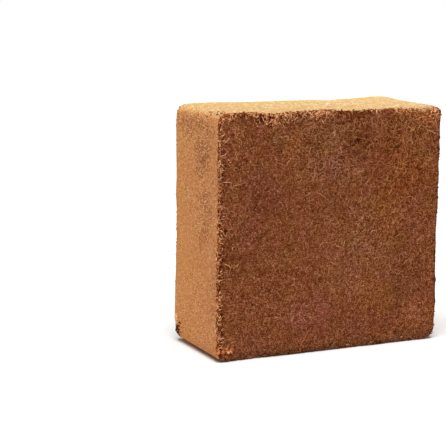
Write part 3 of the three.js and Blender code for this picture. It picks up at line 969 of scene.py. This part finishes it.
# Tangles of crumbs and loops on and about the rims: middle and reach in mm, how many of each, and the
# crumbs' tone and radii
Tangle = namedtuple("Tangle", "name middle reach crumbs loops tone radii")
SMALL = mm(0.5, 1.2)
TUFTS = mm(0.8, 1.3)
LUMPS = mm(1.4, 2.6)
TANGLES = (
    Tangle("pale tangle under the top arris", (-79, -60, 281), (22, 2, 9), 140, 230, 0.88, SMALL),
    Tangle("dark crumbs strewn on the top", (-90, -56, 288), (50, 4, 1), 70, 0, 0.4, SMALL),
    Tangle("dark crumbs on the top arris, left", (-112, -59, 287), (20, 3, 1), 80, 0, 0.35, SMALL),
    Tangle("dark crumbs on the top arris, middle", (-28, -59, 287), (32, 3, 1), 120, 0, 0.4, SMALL),
    Tangle("crumbs on the top left corner", (-142, -40, 282), (6, 22, 6), 50, 0, 0.5, SMALL),
    Tangle("pith spilt over the top arris", (-20, -59, 284), (14, 3, 7), 120, 50, 0.9, SMALL),
    Tangle("bristles on the left arris, high", (-146, -60, 240), (4, 2, 26), 60, 40, 0.75, SMALL),
    Tangle("bristles on the left arris, middle", (-146, -60, 180), (4, 2, 34), 50, 24, 0.6, SMALL),
    Tangle("crumbs on the left arris", (-148, -59, 121), (2.5, 3, 9), 100, 12, 0.75, SMALL),
    Tangle("bristles on the left arris, low", (-146, -60, 42), (5, 2, 32), 90, 130, 0.55, SMALL),
    Tangle("lump at the lower left corner", (-147, -60, 14), (3, 2, 3), 9, 0, 0.62, LUMPS),
    Tangle("lump right of it", (-134, -60, 10), (7, 2, 5), 18, 10, 0.55, LUMPS),
    Tangle("frayed top right corner", (139, -59, 279), (12, 3, 8), 120, 50, 0.75, SMALL),
    Tangle("crumbs under the top, right", (92, -60, 281), (12, 2, 4), 130, 30, 0.7, SMALL),
    Tangle("frayed top left corner", (-138, -59, 283), (8, 3, 4), 90, 14, 0.55, SMALL),
    Tangle("fluff at the back of the left base", (-150, 52, 26), (1, 6, 8), 110, 0, 1.2, TUFTS),
    Tangle("dark crumbs in the notch below it", (-149, 48, 15), (1, 10, 12), 80, 0, 0.15, SMALL),
)
CRUMB_TONE_SPREAD = 0.2
# Crumbs all along the rims of both pressed faces: how many on each at most, and their tones
RIM_CRUMBS = 1300
RIM_CRUMB_TONES = (0.05, 0.9)
# As shares of their radius: how flat grains and crumbs are, how deep they may sink in and stand out
GRAIN_FLATNESS = 0.6
GRAIN_SINK = 0.5
CRUMB_FLATNESS = 0.85
CRUMB_SINK = 0.4
STAND_OUT = 0.4
# How uneven their shapes are: along their three axes, and from corner to corner
UNEVEN_AXES = (0.7, 1.3)
UNEVEN_CORNERS = (0.7, 1.25)


def octahedron():
    """The corners and faces of a unit octahedron."""
    faces = [(0, 1, 2), (1, 3, 2), (3, 4, 2), (4, 0, 2), (1, 0, 5), (3, 1, 5), (4, 3, 5), (0, 4, 5)]
    return np.vstack([np.eye(3), -np.eye(3)]), np.array(faces)


def icosahedron():
    """The corners and faces of a unit icosahedron."""
    golden = (1 + math.sqrt(5)) / 2
    corners = []
    for a in (-1, 1):
        for b in (-golden, golden):
            corners.extend([(0, a, b), (a, b, 0), (b, 0, a)])
    corners = unit(np.array(corners, float))
    edge = min(np.linalg.norm(corners[0] - corner) for corner in corners[1:])
    faces = []
    for i in range(12):
        for j in range(i + 1, 12):
            for k in range(j + 1, 12):
                sides = [np.linalg.norm(corners[p] - corners[q]) for p, q in ((i, j), (j, k), (i, k))]
                if max(sides) < 1.01 * edge:
                    outward = np.dot(np.cross(corners[j] - corners[i], corners[k] - corners[i]), corners[i])
                    faces.append((i, j, k) if outward > 0 else (i, k, j))
    return corners, np.array(faces)


def scatter(name, tree, shape, starts, radii, tones, material, rng, flatness, sink):
    """One joined mesh of small uneven bodies of one shape that lie in the skin."""
    centres, normals = snapped(tree, starts)
    count = len(centres)
    rise = skin_relief(centres) + radii * rng.uniform(-sink, STAND_OUT, count)
    centres = centres + normals * rise[:, None]
    centres[:, 2] = np.maximum(centres[:, 2], CRUMB_CLEARANCE * radii)
    aside = unit(np.cross(normals, rng.normal(size=(count, 3))))
    ahead = np.cross(normals, aside)
    corners, faces = shape
    stretch = rng.uniform(*UNEVEN_AXES, (count, 1, 3)) * np.array([1, 1, flatness])
    local = corners[None] * rng.uniform(*UNEVEN_CORNERS, (count, len(corners), 1)) * stretch
    axes = np.stack([aside, ahead, normals], 1)
    points = centres[:, None, :] + radii[:, None, None] * np.einsum("nki,nij->nkj", local, axes)
    points[..., 2] = np.maximum(points[..., 2], 0)
    all_faces = (np.arange(count)[:, None, None] * len(corners) + faces[None]).reshape(-1, 3)
    mesh = mesh_from_arrays(name, points.reshape(-1, 3), [all_faces])
    add_attribute(mesh, "tone", np.repeat(tones, len(corners)))
    new_object(name, mesh, material)
    mesh.polygons.foreach_set("use_smooth", np.zeros(len(mesh.polygons), bool))


def around(rng, tangle, count):
    """Random places about the middle of a tangle, inside the outline."""
    places = MM * (np.array(tangle.middle) + rng.normal(0, SPREAD, (count, 3)) * tangle.reach)
    return places[outline_inset(places) > -1 * MM]


def build_grains(name, tree, side, count, material, seed, margin):
    rng = np.random.default_rng(seed)
    starts = face_starts(rng, count, side, margin)
    radii = rng.uniform(*GRAIN_RADII, len(starts))
    tones = mat_tones(rng, starts, *GRAIN_SHARES)
    scatter(name, tree, octahedron(), starts, radii, tones, material, rng, GRAIN_FLATNESS, GRAIN_SINK)


def build_crumbs(name, tree, material, seed):
    rng = np.random.default_rng(seed)
    starts = []
    tones = []
    radii = []
    for tangle in TANGLES:
        places = around(rng, tangle, tangle.crumbs)
        starts.append(places)
        tones.append(np.clip(rng.normal(tangle.tone, CRUMB_TONE_SPREAD, len(places)), 0, 1))
        radii.append(rng.uniform(*tangle.radii, len(places)))
    for side in (FRONT, BACK):
        places = rim_starts(rng, RIM_CRUMBS, side)
        starts.append(places)
        tones.append(rng.uniform(*RIM_CRUMB_TONES, len(places)))
        radii.append(rng.uniform(*SMALL, len(places)))
    starts = np.vstack(starts)
    tones = np.concatenate(tones)
    radii = np.concatenate(radii)
    scatter(name, tree, icosahedron(), starts, radii, tones, material, rng, CRUMB_FLATNESS, CRUMB_SINK)


# Materials

class Nodes:
    """A short way to write a material's nodes."""

    def __init__(self, name):
        self.material = bpy.data.materials.new(name)
        self.material.use_nodes = True
        self.tree = self.material.node_tree
        self.shader = self.tree.nodes["Principled BSDF"]
        self.place = self.tree.nodes.new("ShaderNodeTexCoord").outputs["Object"]

    def add(self, kind, inputs=None, **settings):
        node = self.tree.nodes.new("ShaderNode" + kind)
        for key, value in settings.items():
            setattr(node, key, value)
        for key, value in (inputs or {}).items():
            self.put(value, node.inputs[key])
        return node

    def put(self, value, socket):
        if isinstance(value, bpy.types.NodeSocket):
            self.tree.links.new(value, socket)
        else:
            socket.default_value = value

    def noise(self, length, detail=2.0, roughness=0.5, place=None):
        settings = {"Scale": 1 / length, "Detail": detail, "Roughness": roughness}
        return self.add("TexNoise", {"Vector": place or self.place, **settings}).outputs["Fac"]

    def strokes(self, plane, spacing, width, reach, shift):
        """Bent strokes at random angles over a plane: where they are, 0 to 1, and a random value each."""
        moved = self.add("VectorMath", {0: plane, 1: (shift, shift, 0)}, operation="ADD").outputs[0]
        cells = self.add("TexVoronoi", {"Vector": moved, "Scale": 1 / spacing}, voronoi_dimensions="2D")
        from_middle = self.add("VectorMath", {0: moved, 1: cells.outputs["Position"]}, operation="SUBTRACT")
        chances = self.add("SeparateColor", {0: cells.outputs["Color"]}).outputs
        turning = {"Vector": from_middle.outputs[0], "Angle": self.product(chances[0], 2 * math.pi)}
        turned = self.add("VectorRotate", turning, rotation_type="Z_AXIS")
        split = self.add("SeparateXYZ", {0: turned.outputs[0]}).outputs
        bend = self.product(self.product(split[0], split[0]), STROKE_BEND / reach)
        off_line = self.maths("ABSOLUTE", self.maths("SUBTRACT", split[1], bend))
        across = self.span(off_line, 0.35 * width, 0.65 * width, 1.0, 0.0)
        along = self.span(self.maths("ABSOLUTE", split[0]), 0.8 * reach, reach, 1.0, 0.0)
        return self.product(across, along), chances[1]

    def maths(self, operation, first, second=0.0):
        return self.add("Math", {0: first, 1: second}, operation=operation).outputs[0]

    def total(self, first, second):
        return self.maths("ADD", first, second)

    def product(self, first, second):
        return self.maths("MULTIPLY", first, second)

    def weighted(self, first, second, share):
        """A share of the first value and the rest of the second."""
        return self.total(self.product(first, share), self.product(second, 1 - share))

    def swing(self, value, amount, middle=0.5):
        """How far a value lies from the middle, times an amount."""
        return self.product(self.maths("SUBTRACT", value, middle), amount)

    def span(self, value, low, high, to_low=0.0, to_high=1.0):
        return self.add("MapRange", {0: value, 1: low, 2: high, 3: to_low, 4: to_high}).outputs[0]

    def ramp(self, value, stops):
        node = self.add("ValToRGB", {0: value})
        ramp = node.color_ramp
        while len(ramp.elements) < len(stops):
            ramp.elements.new(1.0)
        for element, (position, colour) in zip(ramp.elements, stops):
            element.position = position
            element.color = srgb(colour)
        return node.outputs[0]

    def mix(self, amount, first, second, blend="MIX"):
        node = self.add("Mix", {0: amount, 6: first, 7: second}, data_type="RGBA", blend_type=blend)
        return node.outputs[2]

    def tinted(self, amount, colour, tint):
        """A colour, multiplied by a tint as far as the amount says."""
        return self.mix(amount, colour, self.mix(1.0, colour, tint, "MULTIPLY"))

    def between(self, amount, colour, first, second):
        """A colour, multiplied by something between two tints."""
        return self.mix(1.0, colour, self.mix(amount, first, second), "MULTIPLY")

    def grey(self, value):
        return self.add("CombineColor", {0: value, 1: value, 2: value}).outputs[0]

    def attribute(self, name):
        return self.add("Attribute", attribute_name=name).outputs["Fac"]

    def finish(self, colour, roughness=1.0, specular=0.0):
        """The finished material, fully matt unless told otherwise."""
        self.put(colour, self.shader.inputs["Base Color"])
        self.shader.inputs["Roughness"].default_value = roughness
        self.shader.inputs["Specular IOR Level"].default_value = specular
        return self.material


def srgb(colour):
    """A linear colour with alpha, from red, green and blue out of 255."""
    values = [c / 255 for c in colour]
    return tuple(c / 12.92 if c <= 0.04045 else ((c + 0.055) / 1.055) ** 2.4 for c in values) + (1.0,)


def coir_patches(nodes, colour):
    """Purplish, yellowish, lighter and darker patches over a colour, the named places' own shade, and the
    painted shade of the right edge, the rims and the foot.
    """
    broad = nodes.span(nodes.noise(22 * MM, 2.0), 0.32, 0.68)
    close = nodes.span(nodes.noise(5 * MM, 1.0), 0.3, 0.7)
    patched = nodes.between(nodes.weighted(broad, close, 0.6), colour, *PATCH_TINTS)
    shade = nodes.span(nodes.noise(15 * MM, 2.0), 0.3, 0.7, 0.985, 1.015)
    light = nodes.total(shade, nodes.attribute("light"))
    green, blue = (nodes.maths("POWER", light, power) for power in DEEPENING)
    lightness = nodes.add("CombineColor", {0: light, 1: green, 2: blue}).outputs[0]
    lit = nodes.mix(1.0, patched, lightness, "MULTIPLY")
    warmed = nodes.between(nodes.span(nodes.attribute("warm"), -2.0, 2.0), lit, *WARM_TINTS)
    reddened = nodes.between(nodes.span(nodes.attribute("red"), -1.0, 1.0), warmed, *RED_TINTS)
    # Painted shade at the foot of the pressed faces, greyed by painted light from the floor
    return nodes.tinted(nodes.attribute("foot_shade"), reddened, FOOT_SHADE_TINT)


def painted_top_light(nodes, colour):
    """Painted light: the moulded surface paler and yellower on the top, where the light from above falls,
    with a mottled edge to it.
    """
    split = nodes.add("SeparateXYZ", {0: nodes.place})
    mottle = nodes.swing(nodes.noise(6 * MM, 2.0), 14 * MM)
    top = nodes.span(nodes.total(split.outputs[2], mottle), HIGH[2] - 10 * MM, HIGH[2] - 2 * MM)
    along = nodes.span(split.outputs[0], LOW[0], HIGH[0])
    return nodes.tinted(top, colour, nodes.mix(along, *TOP_LIGHT_TINTS))


SIDE_STOPS = ((0.32, (156, 94, 50)), (0.45, (190, 125, 74)), (0.55, (205, 142, 90)), (0.68, (230, 178, 126)))
PITH_STOPS = ((0.3, (68, 20, 1)), (0.44, (117, 59, 26)), (0.56, (150, 87, 53)), (0.74, (188, 135, 102)))
FIBRE_STOPS = ((0.0, (62, 18, 1)), (0.35, (125, 65, 30)), (0.6, (161, 96, 60)), (0.8, (206, 142, 96)),
               (1.0, (240, 188, 138)))
SIDE_FIBRE_STOPS = ((0.0, (140, 82, 44)), (0.5, (204, 142, 92)), (1.0, (248, 208, 160)))
STRAND_STOPS = ((0.0, (64, 12, 0)), (0.25, (106, 38, 2)), (0.45, (152, 72, 18)), (0.75, (226, 144, 84)),
                (1.0, (255, 206, 158)))
# Painted shade at the foot of the pressed faces: darker, and greyer as with light from the floor
FOOT_SHADE_TINT = (0.74, 0.84, 0.98, 1.0)
# Where the pith is darker it is also deeper in colour: powers of the light for green and blue
DEEPENING = (1.5, 2.2)
WORN_TINT = (0.9, 0.85, 0.88, 1.0)
POCK_TINT = (0.66, 0.54, 0.5, 1.0)
# Pairs of tints: the pith's patches, purplish to yellowish, the named places' warmth and redness, the
# painted light of the top, left to right, the moulded sides' specks, and those sides, front to back
PATCH_TINTS = ((1.02, 0.955, 1.17, 1.0), (0.97, 1.05, 0.87, 1.0))
WARM_TINTS = ((0.95, 0.94, 1.4, 1.0), (1.05, 1.06, 0.6, 1.0))
RED_TINTS = ((0.93, 1.03, 1.02, 1.0), (1.08, 0.97, 0.97, 1.0))
TOP_LIGHT_TINTS = ((1.055, 1.53, 1.78, 1.0), (1.11, 1.74, 2.1, 1.0))
SPECK_TINTS = ((1.02, 0.95, 1.1, 1.0), (0.98, 1.04, 0.88, 1.0))
THROUGH_TINTS = ((0.93, 0.9, 1.0, 1.0), (1.04, 1.06, 0.98, 1.0))
# The pith's edge: how widely it wanders, plain and frayed, how far 1 mm of hollow moves it, and half the
# width of the change
EDGE_WANDER = mm(6, 20)
HOLLOW_PULL = 1.5 * MM
EDGE_BLEND = 0.6 * MM
# How much more contrast loose pith and worn sides have, and how much 1 mm of relief lightens the pith, as
# painted shade darker in its hollows
LOOSE_CONTRAST = 0.6
WORN_CONTRAST = 2.5
RELIEF_PAINTED_SHADE = 0.08
# Strokes: how bent they are, their shade from dark to light, and their height in the bumps
STROKE_BEND = 0.9
STROKE_LIGHT = (-0.14, 0.15)
STROKE_HEIGHT = 0.5
BUMP_STRENGTH = 0.6
BUMP_HEIGHT = 0.6 * MM
# How much the tone changes along a fibre
TONE_CHANGE = 0.1
# Strokes drawn over the pressed faces: spacing, width, half length, and shift of the pattern
FACE_STROKES = (
    (2.8 * MM, 0.8 * MM, 2.0 * MM, 0.0),
    (2.4 * MM, 0.8 * MM, 1.8 * MM, 1.37),
    (3.4 * MM, 0.8 * MM, 2.8 * MM, 2.71),
)


def pith_look(nodes, face, relief):
    """The rough pith's colour, and the height for its bumps."""
    mixed = nodes.weighted(nodes.noise(2.4 * MM, 2.0, 0.55), nodes.noise(1.2 * MM, 2.0, 0.6), 0.2)
    sharper = nodes.swing(mixed, nodes.product(nodes.attribute("loose"), LOOSE_CONTRAST))
    # Painted shade: the pith darker in its hollows and lighter on its bumps
    lifted = nodes.total(nodes.total(mixed, sharper), nodes.product(relief, RELIEF_PAINTED_SHADE))
    raised = mixed
    for spacing, width, reach, shift in FACE_STROKES:
        there, chance = nodes.strokes(face, spacing, width, reach, shift)
        lifted = nodes.total(lifted, nodes.product(there, nodes.span(chance, 0, 1, *STROKE_LIGHT)))
        raised = nodes.total(raised, nodes.product(there, STROKE_HEIGHT))
    return coir_patches(nodes, nodes.ramp(lifted, PITH_STOPS)), raised


def side_look(nodes, through, worn):
    """The moulded surface's colour, and the height for its bumps."""
    squeeze = (1, 1 / SIDE_STRETCH, 1)
    drawn = nodes.add("VectorMath", {0: nodes.place, 1: squeeze}, operation="MULTIPLY").outputs[0]
    blotch = nodes.noise(2.8 * MM, 1.0, place=drawn)
    speckle = nodes.weighted(blotch, nodes.noise(1.1 * MM, 2.0, 0.6, place=drawn), 0.15)
    rough = nodes.swing(speckle, nodes.span(worn, 0, 1, 0.0, WORN_CONTRAST), 0.52)
    speckle = nodes.total(speckle, rough)
    side = nodes.tinted(worn, nodes.ramp(speckle, SIDE_STOPS), WORN_TINT)
    pocks = nodes.product(nodes.span(nodes.noise(2.2 * MM, 1.0, place=drawn), 0.6, 0.68), worn)
    side = nodes.tinted(pocks, side, POCK_TINT)
    hue = nodes.span(nodes.noise(3.4 * MM, 1.0, place=drawn), 0.3, 0.7)
    side = nodes.between(hue, side, *SPECK_TINTS)
    side = nodes.between(nodes.span(through, LOW[1], HIGH[1]), side, *THROUGH_TINTS)
    # The top's painted light
    return painted_top_light(nodes, side), speckle


def skin_material():
    nodes = Nodes("coir_skin")
    split = nodes.add("SeparateXYZ", {0: nodes.place}).outputs
    relief = nodes.attribute("relief")
    wander = nodes.span(nodes.attribute("fray"), 0, 1, *EDGE_WANDER)
    ragged = nodes.swing(nodes.noise(2.6 * MM, 3.0), wander)
    hollow = nodes.product(nodes.maths("MINIMUM", relief, 0.0), HOLLOW_PULL)
    border = nodes.total(nodes.attribute("over_arris"), nodes.total(ragged, hollow))
    pressed = nodes.span(border, EDGE_BLEND, -EDGE_BLEND)
    face = nodes.add("CombineXYZ", {0: split[0], 1: split[2]}).outputs[0]
    pith, raised = pith_look(nodes, face, relief)
    side, speckle = side_look(nodes, split[1], nodes.attribute("wear"))
    height = nodes.mix(pressed, nodes.grey(speckle), nodes.grey(raised))
    bump = nodes.add("Bump", {"Strength": BUMP_STRENGTH, "Distance": BUMP_HEIGHT, "Height": height})
    nodes.put(bump.outputs[0], nodes.shader.inputs["Normal"])
    return nodes.finish(nodes.mix(pressed, side, pith))


def fibre_material(name, stops, finishing=None):
    nodes = Nodes(name)
    change = nodes.span(nodes.noise(2.5 * MM), 0.2, 0.8, -TONE_CHANGE, TONE_CHANGE)
    colour = nodes.ramp(nodes.total(nodes.attribute("tone"), change), stops)
    return nodes.finish(finishing(nodes, colour) if finishing else colour)


# Studio

def studio():
    world = bpy.data.worlds.new("studio")
    bpy.context.scene.world = world
    world.use_nodes = True
    tree = world.node_tree
    ambient = tree.nodes["Background"]
    ambient.inputs["Color"].default_value = (1, 1, 1, 1)
    ambient.inputs["Strength"].default_value = AMBIENT
    shown = tree.nodes.new("ShaderNodeBackground")
    shown.inputs["Color"].default_value = (1, 1, 1, 1)
    shown.inputs["Strength"].default_value = 1.0
    rays = tree.nodes.new("ShaderNodeLightPath")
    mix = tree.nodes.new("ShaderNodeMixShader")
    tree.links.new(rays.outputs["Is Camera Ray"], mix.inputs[0])
    tree.links.new(ambient.outputs[0], mix.inputs[1])
    tree.links.new(shown.outputs[0], mix.inputs[2])
    tree.links.new(mix.outputs[0], tree.nodes["World Output"].inputs[0])

    data = bpy.data.lights.new("sun", "SUN")
    data.angle = SUN_WIDTH
    data.energy = SUN_STRENGTH
    sun = bpy.data.objects.new("sun", data)
    sun.rotation_euler = SUN_TOWARDS.to_track_quat("Z", "Y").to_euler()
    bpy.context.collection.objects.link(sun)

    nodes = Nodes("floor")
    bpy.ops.mesh.primitive_plane_add(size=FLOOR_SIZE)
    floor = bpy.context.object
    floor.name = "floor"
    floor.data.materials.append(nodes.finish(srgb(FLOOR_GREY), 0.9, 0.2))

    view = bpy.context.scene.view_settings
    view.view_transform = "Standard"
    view.look = "None"


def build():
    camera()
    coir = fibre_material("coir_fibre", FIBRE_STOPS, coir_patches)
    strand = fibre_material("strand", STRAND_STOPS)
    # The side fibres take the top's painted light as well
    moulded = fibre_material("moulded_fibre", SIDE_FIBRE_STOPS, painted_top_light)
    tree = build_skin(skin_material())
    build_grains("front_grains", tree, FRONT, FRONT_GRAINS, coir, SEED, 1 * MM)
    build_grains("back_grains", tree, BACK, BACK_GRAINS, coir, SEED + 1, 3 * MM)
    build_mat("front_mat_short", tree, FRONT, SHORT, coir, SEED + 2)
    build_mat("front_mat_medium", tree, FRONT, MEDIUM, coir, SEED + 3)
    build_curls("front_curls", tree, coir, SEED + 10)
    build_mat("back_mat", tree, BACK, BACK_MAT, coir, SEED + 4, 4 * MM)
    build_fringe("front_loops", tree, FRONT, LOOPS, strand, SEED + 5, 5 * MM)
    build_fringe("front_fringe", tree, FRONT, FRINGE, strand, SEED + 6, 4 * MM)
    build_fringe("back_fringe", tree, BACK, BACK_FRINGE, coir, SEED + 7, 2 * MM)
    build_side_fibres("side_fibres", tree, moulded, SEED + 8)
    build_strands("placed_strands", tree, strand)
    build_crumbs("crumbs", tree, coir, SEED + 9)
    studio()


build()
